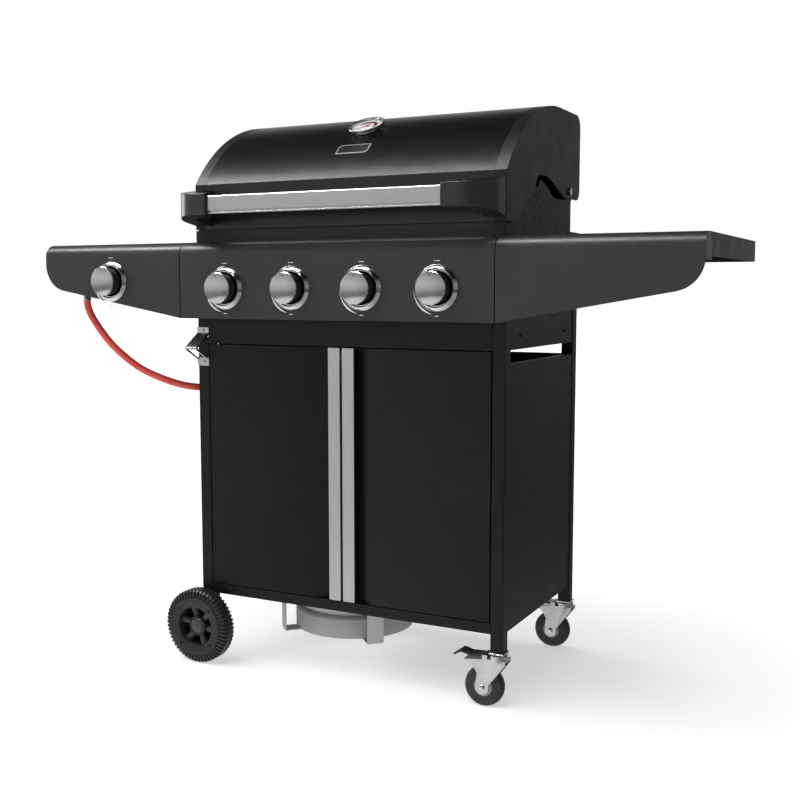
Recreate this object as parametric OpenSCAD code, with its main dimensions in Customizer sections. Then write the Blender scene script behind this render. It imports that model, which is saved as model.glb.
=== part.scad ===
// Gas barbecue grill on a wheeled cabinet, with four main burners and one side burner.
// Millimetres. +X is the user's right, -Y faces the user, +Z is up. The origin is on the
// floor, under the middle of the grill's overall box.

/* [Cart] */
// Width over the legs
cart_w = 678; // [660:1:720]
// Depth over the legs
cart_d = 409; // [400:1:430]
// Side of a square leg tube
leg = 25; // [22:1:28]
// Height of the worktop and of both side tables
table_z = 868; // [860:1:880]
// Height of the bottom shelf
shelf_z = 161; // [155:1:170]
// Height of the top edge of the side and back panels
panel_z = 639.5; // [630:0.5:645]
// Height of the slot above the side panels
slot_h = 25; // [20:1:26]
// Sheet metal thickness
sheet = 1.5; // [1:0.1:2]

/* [Tables and control panel] */
// Width over both side tables
table_w = 1396; // [1360:2:1420]
// How far the control panel stands in front of the legs
panel_reach = 57; // [52:1:62]
// Height of the control panel's lower edge
panel_base_z = 716.5; // [712:0.5:722]
// Height of a side table's skirt
skirt_h = 40; // [35:1:45]
// Rise of a fascia's lower edge from the panel to its round corner
fascia_rise = 54; // [45:1:60]
// Radius of the rolled top edge
roll_r = 26; // [20:1:30]

/* [Lid] */
// Height of the closed lid's lower edge
lid_z = 895; // [893:1:900]
// Height of the lid's top
lid_top_z = 1131; // [1120:1:1140]
// Depth at which the lid's back wall stands
lid_back_y = 412; // [405:1:420]
// Radius of the lid's curved front
lid_r = 344; // [340:1:350]

/* [Running gear] */
// Radius of a large wheel
wheel_r = 77; // [75:1:78]
// Width of a large wheel
wheel_w = 37; // [34:1:38]
// Radius of a caster wheel
caster_r = 38.5; // [36:0.5:39]
// Height of the leg ends above the floor on the caster side
leg_z = 106.5; // [104:0.5:110]

/* [Gas bottle] */
// Radius of the gas bottle
bottle_r = 150; // [140:1:151]
// Place of the bottle to the left of the middle
bottle_x = -87; // [-95:1:-80]

/* [Hidden] */
$fn = 48;

hw = cart_w / 2;
handle_reach = 90;
wheel_gap = 10;
wheel_reach = wheel_gap + wheel_w;
// The legs' front faces stand here, so that the overall box is centred on Y = 0
front_y = (handle_reach - cart_d - wheel_reach) / 2;

slot_z = panel_z + slot_h;
panel_y = -panel_reach;
table_hw = table_w / 2;
fascia_x = hw + 1;
skirt_z = table_z - skirt_h;
table_y = -8;
// Round outer corner of a fascia
corner_r = 56;
corner_x = table_hw - corner_r;
corner_z = panel_base_z + fascia_rise + corner_r;

knob_pitch = 153;
knob_z = 777;
side_knob_x = -518;
side_knob_z = 791;
knob_x = [-1.5 * knob_pitch, -0.5 * knob_pitch, 0.5 * knob_pitch, 1.5 * knob_pitch, side_knob_x];
stem_r = 4;
run = 0.05;

body_z = 866;
lip_z = 893;
tub_hw = 305;
tub_front = 30;
tub_back = 345;
tub_z = 748;
plate_x = hw - 4;

lid_y = -1;
lid_arc_z = lid_top_z - lid_r;
lid_arc_y = lid_y + sqrt(lid_r * lid_r - pow(985 - lid_arc_z, 2));
lid_corner = 25;
band_w = 24;
hinge_y = 345;
hinge_z = 972;
hinge_r = 4;
// Lip inside the lid's front edge
seal_y = 2.5;
seal_z = 902;
// Height of the firebox's ears behind the hinges, and of the smoke baffle between them
ear_z = 957;
baffle_z = 911;
// Lower edges of the lid's back wall: at its ends, which clear the ears, and between them
end_back_z = 990;
back_z = 958;

gauge_y = 112;
dial_z = 8;
gauge_tilt = asin((lid_arc_y - gauge_y) / lid_r);
gauge_z = lid_arc_z + sqrt(lid_r * lid_r - pow(lid_arc_y - gauge_y, 2));

bottle_y = cart_d / 2;
bottle_z = 54.5;
foot_r = 127;
strap_r = bottle_r + 5;
burner_x = -518;
burner_y = 205;

rail_d = 36;
door_z0 = shelf_z + 2;
door_z1 = slot_z - 2.5;
door_x = hw - leg - 2.5;
door_t = 18;
pin_x = hw - leg - 11;
pin_y = 6;
pin_r = 3;

wheel_x = -(hw - leg / 2);
bolt_r = 5;
lugs = 40;
caster_x = hw - leg / 2;
front_caster_y = leg / 2;
rear_caster_y = cart_d - leg / 2;
trail = 27;
cup_r = 18;
pedal_z = 98.5;

hose_r = 7.5;
// Direction in which the bottle valve and its regulator point
outlet_turn = 140;
hose_route = [
  [-627, -195, 768], [-627, -195, 752], [-623, -195, 733], [-614, -194, 715],
  [-601, -193, 697], [-587, -192, 680], [-571, -191, 663], [-553, -188, 646],
  [-534, -185, 631], [-514, -182, 617], [-493, -177, 604], [-472, -171, 594],
  [-451, -163, 585], [-431, -153, 577], [-412, -142, 571], [-395, -128, 567],
  [-381, -111, 565], [-370, -92, 565], [-362, -72, 568], [-357, -52, 574],
  [-354, -34, 583], [-354, -18, 595], [-354, -3, 608], [-354, 13, 621],
  [-354, 30, 633], [-353, 48, 642], [-350, 67, 648], [-344, 85, 651],
  [-334, 102, 652], [-319, 116, 650], [-302, 126, 644], [-285, 131, 633],
  [-269, 132, 620], [-253, 132, 606], [-238, 131, 593], [-222, 127, 582],
  [-206, 119, 576], [-194, 111, 575]
];

// ---- helpers: solids placed in the cart's frame, whose Y = 0 is the legs' front face ----
module cart() translate([0, front_y, 0]) children();

module box(x0, x1, y0, y1, z0, z1)
  translate([x0, y0, z0]) cube([x1 - x0, y1 - y0, z1 - z0]);

module along_x(x0, x1)
  translate([x0, 0, 0]) rotate([90, 0, 90]) linear_extrude(x1 - x0) children();

module along_y(y0, y1)
  translate([0, y1, 0]) rotate([90, 0, 0]) linear_extrude(y1 - y0) children();

module rod_x(x0, x1, y, z, r)
  translate([x0, y, z]) rotate([0, 90, 0]) cylinder(h = x1 - x0, r = r);

module rod_y(y0, y1, x, z, r)
  translate([x, y0, z]) rotate([-90, 0, 0]) cylinder(h = y1 - y0, r = r);

module rod_z(z0, z1, x, y, r)
  translate([x, y, z0]) cylinder(h = z1 - z0, r = r);

module both_sides() {
  children();
  mirror([1, 0, 0]) children();
}

// Points of an arc from angle a0 to a1 about c
function arc(c, r, a0, a1, n = 8) =
  [for (i = [0:n]) let (a = a0 + (a1 - a0) * i / n) [c[0] + r * cos(a), c[1] + r * sin(a)]];

// ---- cabinet ----
module leg_tube(x, y, z0) {
  difference() {
    box(x, x + leg, y, y + leg, z0, body_z);
    box(x + sheet, x + leg - sheet, y + sheet, y + leg - sheet, z0 + 2, body_z - 2);
  }
}

module legs_left() cart() color("#1b1b1c") {
  difference() {
    union() {
      leg_tube(-hw, 0, wheel_r - 15);
      leg_tube(-hw, cart_d - leg, wheel_r - 15);
    }
    rod_y(-1, cart_d + 1, wheel_x, wheel_r, bolt_r + run);
  }
}

module legs_right() cart() color("#1b1b1c") {
  leg_tube(hw - leg, 0, leg_z);
  leg_tube(hw - leg, cart_d - leg, leg_z);
}

// A shallow pan, open below, with the round hole that the bottle stands in
module bottom_shelf() cart() color("#1b1b1c") {
  difference() {
    union() {
      box(-hw + leg, hw - leg, 0, cart_d, shelf_z - sheet, shelf_z);
      box(-hw + leg, hw - leg, 0, sheet, shelf_z - 20, shelf_z);
      box(-hw + leg, hw - leg, cart_d - sheet, cart_d, shelf_z - 20, shelf_z);
      both_sides() {
        box(hw - leg, hw - 2, leg, cart_d - leg, shelf_z - sheet, shelf_z);
        box(hw - 2 - sheet, hw - 2, leg, cart_d - leg, shelf_z - 20, shelf_z);
      }
    }
    rod_z(shelf_z - 30, shelf_z + 10, bottle_x, bottle_y, bottle_r + 3);
    both_sides() rod_z(shelf_z - 30, shelf_z + 10, pin_x, pin_y, pin_r + run);
  }
  difference() {
    rod_z(shelf_z - 12, shelf_z - sheet, bottle_x, bottle_y, bottle_r + 3 + sheet);
    rod_z(shelf_z - 13, shelf_z, bottle_x, bottle_y, bottle_r + 3);
  }
}

module side_panel() {
  box(hw - 3, hw - 3 + sheet, leg, cart_d - leg, shelf_z, panel_z);
  box(hw - 14, hw - 3, leg, cart_d - leg, panel_z - sheet, panel_z);
  box(hw - 14, hw - 14 + sheet, leg, cart_d - leg, panel_z - 10, panel_z - sheet);
}

module side_panel_left() cart() color("#1b1b1c") mirror([1, 0, 0]) side_panel();

module side_panel_right() cart() color("#1b1b1c") side_panel();

module back_panel() cart() color("#1b1b1c") {
  box(-hw + leg, hw - leg, cart_d - 3, cart_d - 3 + sheet, shelf_z, panel_z);
  box(-hw + leg, hw - leg, cart_d - 14, cart_d - 3, panel_z - sheet, panel_z);
}

// Upper side panels, back rail and the fixed strip above the doors
module top_rails() cart() color("#1b1b1c") {
  both_sides() {
    box(hw - 3, hw - 3 + sheet, leg, cart_d - leg, slot_z, body_z);
    box(hw - 14, hw - 3, leg, cart_d - leg, slot_z, slot_z + sheet);
  }
  box(-hw + leg, hw - leg, cart_d - 3, cart_d - 3 + sheet, slot_z, panel_base_z);
  box(-hw + leg, hw - leg, cart_d - 14, cart_d - 3, slot_z, slot_z + sheet);
  difference() {
    union() {
      box(-hw + leg, hw - leg, 0, sheet, slot_z, panel_base_z + 20);
      box(-hw + leg, hw - leg, sheet, rail_d, slot_z, slot_z + 3);
      box(-hw + leg, hw - leg, rail_d - sheet, rail_d, slot_z - 12, slot_z);
    }
    both_sides() rod_z(slot_z - 5, slot_z + 10, pin_x, pin_y, pin_r + run);
  }
}

// ---- doors: a folded pan with a sloping finger recess beside its handle strip ----
module door_section() polygon(concat(
  [[door_x, 0], [64, 0], [36, door_t - sheet], [2.5, door_t - sheet], [2.5, door_t]],
  [[37, door_t], [64.8, sheet], [door_x - sheet, sheet], [door_x - sheet, door_t], [door_x, door_t]]
));

module door_pan() {
  difference() {
    union() {
      translate([0, 0, door_z0]) linear_extrude(door_z1 - door_z0) door_section();
      for (z = [door_z0, door_z1 - sheet])
        translate([0, 0, z]) linear_extrude(sheet)
          polygon([[door_x, 0], [64, 0], [36, door_t], [door_x, door_t]]);
      for (z = [door_z0, door_z1 - 20])
        box(pin_x - 8, door_x, 0, 14, z, z + 20);
    }
    for (z = [door_z0 - 1, door_z1 - 21])
      rod_z(z, z + 22, pin_x, pin_y, pin_r + run);
  }
}

// Folded strip: bright face, a short returned edge, and a web back to the door
module door_strip() translate([0, 0, door_z0]) linear_extrude(door_z1 - door_z0)
  polygon([[2.5, -2], [28.5, -2], [28.5, 4], [27, 4], [27, -0.4], [4, -0.4],
    [4, door_t - sheet], [2.5, door_t - sheet]]);

module door_left() cart() color("#1b1b1c") mirror([1, 0, 0]) door_pan();

module door_right() cart() color("#1b1b1c") door_pan();

module door_left_handle() cart() color("#b9babb") mirror([1, 0, 0]) door_strip();

module door_right_handle() cart() color("#b9babb") door_strip();

// ---- gas bottle and its supply ----
module strap() {
  half = strap_r + 2.5;
  translate([0, 0, bottle_z - 2.5]) {
    translate([-half, -17.5, 0]) cube([2 * half, 35, 2.5]);
    for (side = [0, 1])
      mirror([side, 0, 0]) {
        translate([strap_r, -17.5, 0]) cube([2.5, 35, shelf_z - sheet - bottle_z + 2.5]);
        translate([strap_r, -17.5, shelf_z - sheet - bottle_z]) cube([22, 35, 2.5]);
      }
  }
}

module bottle_cradle() cart() color("#a5a6a8")
  translate([bottle_x, bottle_y, 0])
    for (turn = [45, 135]) rotate([0, 0, turn]) strap();

// Half section of the bottle, inset by t, from the middle of its floor to its neck
function bottle_half(t) = concat(
  [[0, 98 + t], [112 - 0.4 * t, 98 + t]],
  arc([bottle_r - 40, 150], 40 - t, -50, 0), arc([bottle_r - 90, 450], 90 - t, 0, 72),
  [[26, 546 - t], [0, 546 - t]]
);

// Foot ring's half section, which curls in under the bottle's floor
module foot_ring() polygon([
  [foot_r, bottle_z], [foot_r, 91], [foot_r - 1.5, 94.5], [foot_r - 6, 97], [114, 98.5],
  [108, 99.5], [108, 96.5], [114, 95.5], [foot_r - 7, 94.2], [foot_r - 4, 92],
  [foot_r - 3, 90], [foot_r - 3, bottle_z]
]);

module gas_bottle() cart() color("#8f9193") translate([bottle_x, bottle_y, 0]) {
  difference() {
    union() {
      rotate_extrude($fn = 64) polygon(bottle_half(0));
      rod_z(530, 556, 0, 0, 22);
    }
    rotate_extrude($fn = 64) polygon(bottle_half(3));
    rod_z(520, 560, 0, 0, 14);
  }
  rotate_extrude($fn = 64) foot_ring();
  difference() {
    rod_z(520, 640, 0, 0, 88);
    rod_z(515, 641, 0, 0, 85);
    rotate([0, 0, outlet_turn]) box(20, 100, -50, 50, 548, 650);
    rotate([0, 0, outlet_turn - 180]) box(20, 100, -38, 38, 585, 622);
  }
}

module bottle_valve() cart() color("#b08d4a") translate([bottle_x, bottle_y, 0]) {
  rod_z(541, 556, 0, 0, 13.9);
  rod_z(556, 592, 0, 0, 13);
  rod_z(592, 606, 0, 0, 4);
  rotate([0, 0, outlet_turn]) rod_x(8, 34, 0, 575, 9);
}

module bottle_handwheel() cart() color("#2a2a2c") translate([bottle_x, bottle_y, 0])
  difference() {
    union() {
      rod_z(595, 613, 0, 0, 12);
      for (turn = [0:45:315]) rotate([0, 0, turn]) rod_z(600, 612, 21, 0, 7);
      rod_z(600, 612, 0, 0, 23);
    }
    rod_z(594, 607, 0, 0, 4 + run);
  }

module regulator() cart() color("#9a9c9e") translate([bottle_x, bottle_y, 0])
  rotate([0, 0, outlet_turn]) {
    difference() {
      rod_x(34, 58, 0, 575, 15);
      rod_x(30, 40, 0, 575, 5);
    }
    rod_z(558, 592, 82, 0, 32);
    rod_z(592, 600, 82, 0, 22);
    rod_x(112, 128, 0, 575, 9);
    rod_x(128, 139.5, 0, 575, 7);
  }

// ---- gas hose: a tube swept along its route ----
function unit(v) = v / norm(v);

function tangent(i) =
  let (n = len(hose_route) - 1)
  i == 0 ? [0, 0, -1]
  : i == n ? [cos(outlet_turn - 180), sin(outlet_turn - 180), 0]
  : unit(hose_route[i + 1] - hose_route[i - 1]);

// Side vectors carried from ring to ring without twist
function carried(v, t) = unit(v - (v * t) * t);

function ring_sides(i) = i == 0 ? [[1, 0, 0]] :
  let (before = ring_sides(i - 1)) concat(before, [carried(before[i - 1], tangent(i))]);

function ring(i, side) =
  let (t = tangent(i), up = cross(t, side))
  [for (k = [0:9]) hose_route[i] + hose_r * (cos(36 * k) * side + sin(36 * k) * up)];

module gas_hose() color("#b5352d") {
  last = len(hose_route) - 1;
  sides = ring_sides(last);
  points = [for (i = [0:last]) each ring(i, sides[i])];
  walls = [for (i = [0:last - 1], k = [0:9])
    let (m = (k + 1) % 10) [i * 10 + k, (i + 1) * 10 + k, (i + 1) * 10 + m, i * 10 + m]];
  caps = [[for (k = [0:9]) k], [for (k = [9:-1:0]) last * 10 + k]];
  polyhedron(points, concat(walls, caps), convexity = 4);
}

// ---- firebox and what is in it ----
module firebox_side() polygon(concat(
  [[lid_y + sheet, body_z], [lid_y + sheet, lip_z], [28, lip_z], [60, 905], [134, 958]],
  arc([184, 967], 15, 175, 75, 5),
  [[204, 976], [222, 970], [240, 962], [252, 955.5], [266, 953], [300, 953], [330, 955]],
  arc([hinge_y, hinge_z], 13, 200, -45, 8),
  [[363, ear_z], [363, body_z]]
));

module firebox() cart() color("#151516") {
  difference() {
    union() {
      both_sides() {
        difference() {
          along_x(plate_x, plate_x + sheet) firebox_side();
          for (y = [146, 182], z = [909, 930, 951]) rod_x(hw - 10, hw + 10, y, z, 2.6);
          rod_x(hw - 10, hw + 10, hinge_y, hinge_z, hinge_r + run);
        }
        box(tub_hw - sheet, plate_x + sheet, lid_y + sheet, 363, body_z, body_z + sheet);
      }
      box(-hw, hw, lid_y, lid_y + sheet, body_z, lip_z);
      box(-plate_x, plate_x, seal_y, seal_y + sheet, body_z, seal_z);
      box(-plate_x, plate_x, 361, 361 + sheet, body_z, 898);
      box(-plate_x, plate_x, 361, 361 + sheet, baffle_z, ear_z);
      box(-hw, hw, 363, 411, 889, 892);
      box(-hw, hw, 409.5, 411, 881, 889);
      box(-plate_x, plate_x, lid_y + sheet, tub_front + sheet, body_z, body_z + sheet);
      box(-plate_x, plate_x, tub_back - sheet, 363, body_z, body_z + sheet);
      difference() {
        box(-tub_hw, tub_hw, tub_front, tub_back, tub_z, body_z + sheet);
        box(-tub_hw + sheet, tub_hw - sheet, tub_front + sheet, tub_back - sheet,
            tub_z + sheet, body_z + 10);
      }
      for (y = [tub_front + sheet, tub_back - sheet - 10])
        for (z = [812, 858]) box(-tub_hw, tub_hw, y, y + 10, z, z + sheet);
      both_sides() {
        box(151, 151 + sheet, 50, 345, 738.5, tub_z);
        box(143, 151, 50, 345, 738.5, 740);
      }
    }
    box(-60, 60, 160, 230, tub_z - 5, tub_z + 5);
    for (i = [0:3]) rod_y(tub_front - 2, tub_front + 5, knob_x[i], knob_z, 13);
  }
}

module burner_tubes() cart() color("#8d8f91")
  for (i = [0:3]) {
    difference() {
      union() {
        rod_y(2, tub_back - sheet, knob_x[i], knob_z, 11);
        rod_y(8, 22, knob_x[i], knob_z, 12.5);
      }
      rod_y(1, tub_back - 8, knob_x[i], knob_z, 9.5);
    }
  }

module flame_tamers() cart() color("#77797b")
  for (i = [0:3])
    along_y(tub_front + 4, tub_back - 4)
      translate([knob_x[i], 813.5])
        polygon([[-52, 0], [0, 28], [52, 0], [49, 0], [0, 26.2], [-49, 0]]);

module grate() {
  for (x = [4:24.4:300]) box(x, x + 6, 34, 341, 861, 871);
  for (y = [34, 135, 235, 335]) box(4, 302, y, y + 6, 859.5, 867);
}

module cooking_grates() cart() color("#1f1f20") both_sides() grate();

module warming_rack() cart() color("#a9abad") {
  for (y = [245, 325]) rod_x(-plate_x, plate_x, y, 944, 3);
  for (x = [-325:25:325]) rod_y(245, 325, x, 946, 2);
}

module grease_tray() cart() color("#9b9da0") {
  difference() {
    box(-140, 140, 62, 396, 720, 744);
    box(-140 + sheet, 140 - sheet, 62 + sheet, 396 - sheet, 720 + sheet, 750);
  }
  both_sides() box(139, 148, 62, 396, 742, 744);
  box(-45, 45, 396, 414, 740, 742);
  box(-45, 45, 412, 414, 728, 740);
}

// ---- gas train behind the control panel ----
module valve_body(x, z) {
  difference() {
    union() {
      box(x - 12, x + 12, -46, -12, z - 13, z + 13);
      rod_y(-50, -46, x, z, 9);
      rod_y(-12, 7, x, z, 4);
    }
    rod_y(-52, -34, x, z, stem_r + run);
  }
}

module gas_manifold() cart() color("#8e8469") {
  difference() {
    union() {
      rod_x(-627, 262, -12, knob_z, 8);
      for (i = [0:3]) valve_body(knob_x[i], knob_z);
      valve_body(side_knob_x, side_knob_z);
    }
    for (i = [0:3]) rod_y(-52, -34, knob_x[i], knob_z, stem_r + run);
  }
  translate([-627, -12, knob_z]) sphere(r = 10);
  rod_z(768, knob_z, -627, -12, 7);
}

// Profile of the control panel and both fascias, from the lower edge over the roll
module roll_section(y_end, z0) difference() {
  roll_solid(y_end, z0, 0);
  roll_solid(y_end + 5, z0 - 5, sheet);
}

module roll_solid(y_end, z0, inset) {
  top = table_z - inset;
  front = panel_y + inset;
  r = roll_r - inset;
  translate([front, z0]) square([y_end - front, top - r - z0]);
  translate([front + r, z0]) square([y_end - front - r, top - z0]);
  intersection() {
    translate([front + r, top - r]) circle(r = r);
    translate([front, top - r]) square([r + 1, r]);
  }
}

module control_panel() cart() color("#202022") {
  difference() {
    union() {
      along_x(-hw - 0.7, hw + 0.7) roll_section(lid_y, panel_base_z);
      box(-hw - 0.7, hw + 0.7, panel_y + sheet, -2, panel_base_z, panel_base_z + sheet);
    }
    for (i = [0:3]) rod_y(panel_y - 2, panel_y + 4, knob_x[i], knob_z, 10);
  }
}

// Front view of the right fascia: sloping lower edge and round outer corner
module fascia_outline() polygon(concat(
  [[fascia_x, panel_base_z], [fascia_x, table_z], [table_hw, table_z], [table_hw, corner_z]],
  arc([corner_x, corner_z], corner_r, 0, -80, 10)
));

module fascia() {
  intersection() {
    along_x(fascia_x, table_hw) roll_section(table_y, panel_base_z - 5);
    along_y(panel_y - 5, 0) fascia_outline();
  }
  intersection() {
    along_x(table_hw - sheet, table_hw) roll_solid(table_y, skirt_z - 6, 0);
    along_y(panel_y - 5, 0) fascia_outline();
  }
}

module fascia_right() cart() color("#202022") fascia();

module fascia_left() cart() color("#202022") difference() {
  mirror([1, 0, 0]) fascia();
  rod_y(panel_y - 2, panel_y + 4, side_knob_x, side_knob_z, 10);
}

module table() {
  difference() {
    box(fascia_x + 1.5, table_hw, table_y, cart_d, skirt_z, table_z);
    box(fascia_x + 1.5 + sheet, table_hw - sheet, table_y - 5, cart_d - sheet,
        skirt_z - 1, table_z - sheet);
  }
}

module table_right() cart() color("#202022") table();

module table_left() cart() color("#202022") difference() {
  mirror([1, 0, 0]) table();
  rod_z(table_z - 10, table_z + 5, burner_x, burner_y, 101);
}

// Round well with a rolled rim, and the burner that stands in it
module side_burner() cart() color("#3a3b3d") {
  difference() {
    union() {
      rod_z(table_z, table_z + 1.2, burner_x, burner_y, 112);
      rod_z(838, table_z + 1.2, burner_x, burner_y, 100);
    }
    rod_z(838 + sheet, table_z + 5, burner_x, burner_y, 98.5);
    rod_z(830, 842, burner_x, burner_y, 11);
  }
  rod_z(side_knob_z - 12, 852, burner_x, burner_y, 12);
  rod_z(852, 857, burner_x, burner_y, 36);
  rod_z(857, 860, burner_x, burner_y, 30);
  difference() {
    rod_y(3, burner_y, burner_x, side_knob_z, 9);
    rod_y(2, 60, burner_x, side_knob_z, 7.5);
  }
}

module pot_support() cart() color("#1f1f20") translate([burner_x, burner_y, 0])
  difference() {
    union() {
      for (turn = [0:90:270])
        rotate([0, 0, turn]) {
          box(22, 104, -2.5, 2.5, 862, table_z + 4.5);
          box(99.5, 104, -6, 6, table_z + 1.2, table_z + 4.5);
        }
      difference() {
        rod_z(862, 868, 0, 0, 62);
        rod_z(861, 869, 0, 0, 57);
      }
    }
    difference() {
      rod_z(860, table_z + 1.2, 0, 0, 110);
      rod_z(859, table_z + 3, 0, 0, 97.5);
    }
  }

module bezel(x, z) translate([x, panel_y, z]) rotate([90, 0, 0])
  rotate_extrude($fn = 64) polygon([
    [31, 0], [42, 0], [42, 3], [40.5, 6.5], [38, 8], [36, 7], [34, 3.5], [32.5, 3], [31, 3]
  ]);

module knob_bezels() cart() color("#d8d9da") {
  for (i = [0:3]) bezel(knob_x[i], knob_z);
  bezel(side_knob_x, side_knob_z);
}

module stem(x, z) cart() color("#b08d4a") rod_y(-78, -40, x, z, stem_r);

module stem_1() stem(knob_x[0], knob_z);

module stem_2() stem(knob_x[1], knob_z);

module stem_3() stem(knob_x[2], knob_z);

module stem_4() stem(knob_x[3], knob_z);

module stem_side() stem(side_knob_x, side_knob_z);

// Knob: satin cap with a bright edge on a darker waist
module knob(x, z) cart() color("#c3c4c6") difference() {
  translate([x, 0, z]) rotate([90, 0, 0]) rotate_extrude($fn = 64) polygon([
    [0, 62], [27, 62], [28.5, 64], [26, 68], [24.5, 72], [24.5, 77], [28.5, 80.5],
    [30, 83], [30, 86], [28.6, 88], [24, 88.6], [14, 89.2], [0, 89.5]
  ]);
  rod_y(-79, -60, x, z, stem_r + run);
  rod_y(-91, -87.4, x, z + 22.5, 1.3);
}

module knob_1() knob(knob_x[0], knob_z);

module knob_2() knob(knob_x[1], knob_z);

module knob_3() knob(knob_x[2], knob_z);

module knob_4() knob(knob_x[3], knob_z);

module knob_side() knob(side_knob_x, side_knob_z);

// ---- lid ----
module lid_solid(z0, inset) {
  top = lid_top_z - inset;
  back = lid_back_y - inset;
  r = lid_corner - inset;
  intersection() {
    translate([lid_y + inset, z0]) square([lid_arc_y - lid_y - inset, top - z0]);
    translate([lid_arc_y, lid_arc_z]) circle(r = lid_r - inset, $fn = 96);
  }
  translate([lid_arc_y, z0]) square([back - r - lid_arc_y, top - z0]);
  translate([back - r, z0]) square([r, top - r - z0]);
  translate([back - r, top - r]) circle(r = r);
}

// Front, curved top and back, whose back wall ends at the height wall_z
module lid_section(outer, inner, wall_z) difference() {
  lid_solid(lid_z, outer);
  lid_solid(lid_z - 5, inner);
  translate([350, lid_z - 1]) square([100, wall_z - lid_z + 1]);
}

module lid_shell() cart() color("#101011") {
  difference() {
    along_x(-hw + band_w + 0.4, hw - band_w - 0.4) lid_section(0, sheet, back_z);
    on_gauge() rod_z(-10, 10, 0, 0, 5);
  }
  both_sides() along_x(hw - band_w - 14, hw - band_w + 7) lid_section(sheet, 2 * sheet, back_z);
}

// Opening in the end plate that clears the firebox's raised ear
module ear_cutout() polygon(concat(
  [[30, lid_z - 10], [30, lid_z], [60, 903], [126, 950], [149, 966]],
  arc([171, 968], 22, 160, 95, 5),
  [[200, 991.5], [216, 990], [234, 985], [262, 976], [292, 966], [322, 956], [340, lid_z - 10]]
));

module lid_end_plate() difference() {
  lid_solid(lid_z, 0);
  ear_cutout();
  translate([320, lid_z - 5]) square([100, 958 - lid_z + 5]);
  difference() {
    translate([391, 950]) square([40, 30]);
    translate([391, 979]) circle(r = 21);
  }
}

module lid_ends() cart() color("#0e0e0f") both_sides() {
  difference() {
    along_x(hw - 2, hw) lid_end_plate();
    rod_x(hw - 10, hw + 10, hinge_y, hinge_z, hinge_r + run);
  }
  along_x(hw - band_w, hw - 2) lid_section(0, sheet, end_back_z);
}

// Plan of a handle bracket, with the room for the fingers behind its arm
module bracket_plan() difference() {
  polygon(concat(
    [[338, lid_y], [250, lid_y], [250, -handle_reach], [278, -handle_reach]],
    arc([278, -30], handle_reach - 30, -90, 0, 12)
  ));
  translate([240, -64]) square([46, 80]);
  translate([240, -50]) square([60, 60]);
  translate([286, -50]) circle(r = 14);
}

module bracket_side() polygon([
  [lid_y, 902], [-60, 912], [-80, 916], [-95, 919], [-95, 958], [-80, 961], [-40, 968],
  [lid_y, 974]
]);

module handle_brackets() cart() color("#18181a") both_sides()
  intersection() {
    translate([0, 0, 880]) linear_extrude(120) bracket_plan();
    along_x(200, 400) bracket_side();
  }

// Bar with a flat bright face, a rounded top and a thin lip below
module handle_bar() cart() color("#c4c5c6")
  along_x(-250, 250) {
    difference() {
      union() {
        translate([-84, 926]) square([17, 25]);
        translate([-79, 951]) circle(r = 5);
        translate([-72, 951]) circle(r = 5);
        translate([-79, 926]) square([7, 30]);
      }
      translate([-81.5, 928.5]) square([12, 22]);
    }
    translate([-80, 922.5]) square([4, 3.5]);
    translate([-83, 920]) square([14, 2.6]);
  }

// Thermometer: stem through the lid, collar, and a wide dish with the dial in it
module on_gauge() translate([0, gauge_y, gauge_z]) rotate([gauge_tilt, 0, 0]) children();

module thermometer() cart() color("#d8d9da") on_gauge() {
  rotate_extrude($fn = 64) polygon([
    [0, 0.4], [24, 0.4], [24, 2.5], [20.5, 3.5], [20.5, 5], [31, 7.5], [37, 11], [37, 13],
    [35.5, 14], [33.5, 13], [33, dial_z], [2 + run, dial_z], [2 + run, dial_z - 3], [0, dial_z - 3]
  ]);
  rod_z(-38, 1, 0, 0, 4);
  difference() {
    rod_z(-8, -3, 0, 0, 10, $fn = 6);
    rod_z(-9, -2, 0, 0, 3.9);
  }
}

module thermometer_needle() cart() color("#c8321e") on_gauge() {
  rod_z(dial_z - 2.5, dial_z + 2, 0, 0, 2);
  rod_z(dial_z + 1, dial_z + 2, 0, 0, 4);
  rotate([0, 0, 225]) translate([0, -0.8, dial_z + 1]) cube([26, 1.6, 0.8]);
  rotate([0, 0, 45]) translate([0, -1.6, dial_z + 1]) cube([9, 3.2, 0.8]);
}

// ---- running gear ----
module wheel(y_face) {
  inner = y_face + wheel_w;
  difference() {
    union() {
      difference() {
        translate([wheel_x, inner, wheel_r]) rotate([90, 0, 0]) rotate_extrude($fn = 72)
          polygon([[6, 4], [41, 4], [41, 0], [66, 0], [73, 3], [wheel_r, 8],
            [wheel_r, wheel_w - 8], [73, wheel_w - 2], [66, wheel_w],
            [44, wheel_w - 2], [41, wheel_w - 6], [39, 8], [6, 8]]);
        for (turn = [0:360 / lugs:359]) translate([wheel_x, 0, wheel_r]) rotate([0, turn, 0])
          for (side = [0, 1])
            translate([0, y_face + side * wheel_w, 0]) mirror([0, side, 0])
              box(68.5, wheel_r + 1, -1, 13, -2.2, 2.2);
      }
      rod_y(y_face + 5, inner - 1, wheel_x, wheel_r, 20);
      for (turn = [0:60:300])
        translate([wheel_x, 0, wheel_r]) rotate([0, turn, 0])
          box(15, 41, y_face + 12, inner - 6, -5.5, 5.5);
    }
    rod_y(y_face + 8, inner + 1, wheel_x, wheel_r, bolt_r + run);
  }
}

module wheel_front() cart() color("#232324") wheel(-wheel_reach);

module wheel_rear() cart() color("#232324")
  translate([0, cart_d, 0]) mirror([0, 1, 0]) wheel(-wheel_reach);

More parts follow.
